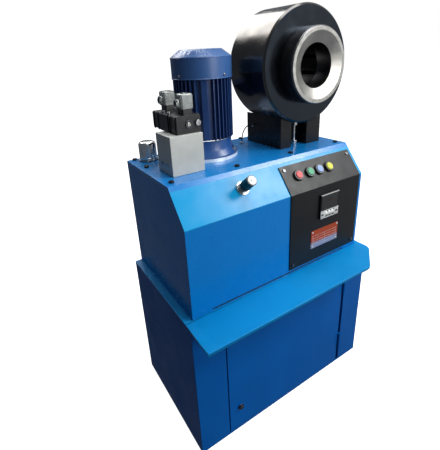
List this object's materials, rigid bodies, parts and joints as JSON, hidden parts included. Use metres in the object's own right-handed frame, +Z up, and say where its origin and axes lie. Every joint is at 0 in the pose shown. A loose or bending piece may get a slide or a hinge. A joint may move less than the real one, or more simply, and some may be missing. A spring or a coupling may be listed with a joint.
{
  "type": "hose crimping machine",
  "caption": "Free-standing hydraulic hose crimping machine: round crimping head and motor pump set on a blue tank housing, above a cabinet with a door and a tray.",
  "frame": {"origin": "on the floor under the middle of the cabinet's width, halfway between the tray's front edge and the back walls", "axes": "+X right as the operator sees it, -Y towards the operator, +Z up"},
  "size_m": [0.635, 0.434, 1.11],
  "materials": {
    "cabinet_blue": "satin enamel",
    "tray_blue": "gloss enamel",
    "housing_blue": "gloss enamel",
    "plate_blue": "gloss enamel",
    "motor_blue": "semi-gloss enamel",
    "panel_black": "fine powder coat",
    "black_oxide": "turned and blackened",
    "ground_steel": "ground",
    "hardened_steel": "ground and hardened",
    "zinc_steel": "bright zinc",
    "saddle_black": "semi-gloss enamel",
    "cast_aluminium": "as machined",
    "cast_iron": "phosphated",
    "chrome": "polished",
    "black_plastic": "moulded",
    "grey_plastic": "moulded",
    "white_plastic": "moulded",
    "clear_plastic": "clear moulded",
    "dark_window": "polished",
    "red_plastic": "moulded",
    "green_plastic": "moulded",
    "blue_plastic": "moulded",
    "yellow_plastic": "moulded",
    "rubber": "moulded",
    "rating_plate": "printed"
  },
  "bodies": {
    "machine": {"adjuster_base": "zinc_steel", "back_cover": "black_oxide", "base_cabinet": "cabinet_blue", "bell_housing": "cast_aluminium", "breather_base": "zinc_steel", "button_bodies": "black_plastic", "cable_gland": "black_plastic", "connector_hoods": "clear_plastic", "control_gear": "grey_plastic", "control_panel": "panel_black", "counter_case": "black_plastic", "counter_window": "dark_window", "fan_cowl": "motor_blue", "frame_knuckles": "zinc_steel", "gear_pump": "cast_aluminium", "head_body": "black_oxide", "head_support": "plate_blue", "machine_bolts": "zinc_steel", "manifold_block": "cast_aluminium", "motor_flange": "cast_aluminium", "motor_frame": "motor_blue", "nose_ring": "ground_steel", "oil_tank": "zinc_steel", "panel_screws": "zinc_steel", "pressure_tube": "zinc_steel", "rating_plate": "rating_plate", "saddle": "saddle_black", "solenoid_coils": "black_plastic", "tank_housing": "housing_blue", "tank_pipes": "zinc_steel", "tool_tray": "tray_blue", "top_plate": "plate_blue", "top_plate_screws": "black_oxide", "valve_body": "cast_iron"},
    "door": {"cabinet_door": "cabinet_blue", "door_fittings": "zinc_steel"},
    "lock_cam": {"lock_cam": "chrome"},
    "piston": {"piston": "hardened_steel", "piston_seal": "rubber"},
    "rotor": {"rotor": "ground_steel", "cooling_fan": "black_plastic"},
    "breather_cap": {"breather_cap": "chrome"},
    "valve_spool": {"valve_spool": "ground_steel"},
    "adjuster": {"adjuster_knob": "black_plastic", "adjuster_disc": "white_plastic"},
    "button_red": {"button_red": "red_plastic"},
    "button_green": {"button_green": "green_plastic"},
    "button_blue": {"button_blue": "blue_plastic"},
    "button_yellow": {"button_yellow": "yellow_plastic"},
    "thumbwheel_1": {"thumbwheel_1": "white_plastic"},
    "thumbwheel_2": {"thumbwheel_2": "white_plastic"},
    "thumbwheel_3": {"thumbwheel_3": "white_plastic"},
    "jaw_1": {"jaw_1": "hardened_steel"},
    "jaw_2": {"jaw_2": "hardened_steel"},
    "jaw_3": {"jaw_3": "hardened_steel"},
    "jaw_4": {"jaw_4": "hardened_steel"},
    "jaw_5": {"jaw_5": "hardened_steel"},
    "jaw_6": {"jaw_6": "hardened_steel"},
    "jaw_7": {"jaw_7": "hardened_steel"},
    "jaw_8": {"jaw_8": "hardened_steel"}
  },
  "joints": [
    {"name": "door_hinge", "type": "hinge", "parent": "machine", "child": "door", "pos_m": [0.22, -0.14, 0.2], "axis": [0, 0, 1], "range_deg": [0, 110]},
    {"name": "lock_turn", "type": "hinge", "parent": "door", "child": "lock_cam", "pos_m": [-0.182, -0.14, 0.084], "axis": [0, -1, 0], "range_deg": [0, 90]},
    {"name": "piston_slide", "type": "slide", "parent": "machine", "child": "piston", "axis": [0, -1, 0], "range_m": [0, 0.052]},
    {"name": "jaw_1_slide", "type": "slide", "parent": "machine", "child": "jaw_1", "axis": [-1, 0, 0], "range_m": [0, 0.014]},
    {"name": "jaw_2_slide", "type": "slide", "parent": "machine", "child": "jaw_2", "axis": [-0.7071, 0, 0.7071], "range_m": [0, 0.014]},
    {"name": "jaw_3_slide", "type": "slide", "parent": "machine", "child": "jaw_3", "axis": [0, 0, 1], "range_m": [0, 0.014]},
    {"name": "jaw_4_slide", "type": "slide", "parent": "machine", "child": "jaw_4", "axis": [0.7071, 0, 0.7071], "range_m": [0, 0.014]},
    {"name": "jaw_5_slide", "type": "slide", "parent": "machine", "child": "jaw_5", "axis": [1, 0, 0], "range_m": [0, 0.014]},
    {"name": "jaw_6_slide", "type": "slide", "parent": "machine", "child": "jaw_6", "axis": [0.7071, 0, -0.7071], "range_m": [0, 0.014]},
    {"name": "jaw_7_slide", "type": "slide", "parent": "machine", "child": "jaw_7", "axis": [0, 0, -1], "range_m": [0, 0.014]},
    {"name": "jaw_8_slide", "type": "slide", "parent": "machine", "child": "jaw_8", "axis": [-0.7071, 0, -0.7071], "range_m": [0, 0.014]},
    {"name": "rotor_spin", "type": "hinge", "parent": "machine", "child": "rotor", "pos_m": [-0.089, 0.125, 0.9], "axis": [0, 0, 1], "continuous": true},
    {"name": "breather_turn", "type": "hinge", "parent": "machine", "child": "breather_cap", "pos_m": [-0.238, 0.187, 0.76], "axis": [0, 0, 1], "range_deg": [0, 90]},
    {"name": "spool_slide", "type": "slide", "parent": "machine", "child": "valve_spool", "axis": [0, 1, 0], "range_m": [-0.003, 0.003], "stiffness_N_per_m": 500},
    {"name": "adjuster_turn", "type": "hinge", "parent": "machine", "child": "adjuster", "pos_m": [-0.113, -0.09184, 0.7103], "axis": [0, -0.7761, 0.6306], "range_deg": [-135, 135]},
    {"name": "button_red_press", "type": "slide", "parent": "machine", "child": "button_red", "axis": [0, 0.7761, -0.6306], "range_m": [0, 0.004], "stiffness_N_per_m": 400},
    {"name": "button_green_press", "type": "slide", "parent": "machine", "child": "button_green", "axis": [0, 0.7761, -0.6306], "range_m": [0, 0.004], "stiffness_N_per_m": 400},
    {"name": "button_blue_press", "type": "slide", "parent": "machine", "child": "button_blue", "axis": [0, 0.7761, -0.6306], "range_m": [0, 0.004], "stiffness_N_per_m": 400},
    {"name": "button_yellow_press", "type": "slide", "parent": "machine", "child": "button_yellow", "axis": [0, 0.7761, -0.6306], "range_m": [0, 0.004], "stiffness_N_per_m": 400},
    {"name": "thumbwheel_1_turn", "type": "hinge", "parent": "machine", "child": "thumbwheel_1", "pos_m": [0.139, -0.1125, 0.573], "axis": [1, 0, 0], "continuous": true},
    {"name": "thumbwheel_2_turn", "type": "hinge", "parent": "machine", "child": "thumbwheel_2", "pos_m": [0.151, -0.1125, 0.573], "axis": [1, 0, 0], "continuous": true},
    {"name": "thumbwheel_3_turn", "type": "hinge", "parent": "machine", "child": "thumbwheel_3", "pos_m": [0.163, -0.1125, 0.573], "axis": [1, 0, 0], "continuous": true}
  ],
  "couplings": [
    {"joint": "jaw_1_slide", "follows": "piston_slide", "ratio": 0.26795},
    {"joint": "jaw_2_slide", "follows": "piston_slide", "ratio": 0.26795},
    {"joint": "jaw_3_slide", "follows": "piston_slide", "ratio": 0.26795},
    {"joint": "jaw_4_slide", "follows": "piston_slide", "ratio": 0.26795},
    {"joint": "jaw_5_slide", "follows": "piston_slide", "ratio": 0.26795},
    {"joint": "jaw_6_slide", "follows": "piston_slide", "ratio": 0.26795},
    {"joint": "jaw_7_slide", "follows": "piston_slide", "ratio": 0.26795},
    {"joint": "jaw_8_slide", "follows": "piston_slide", "ratio": 0.26795}
  ]
}
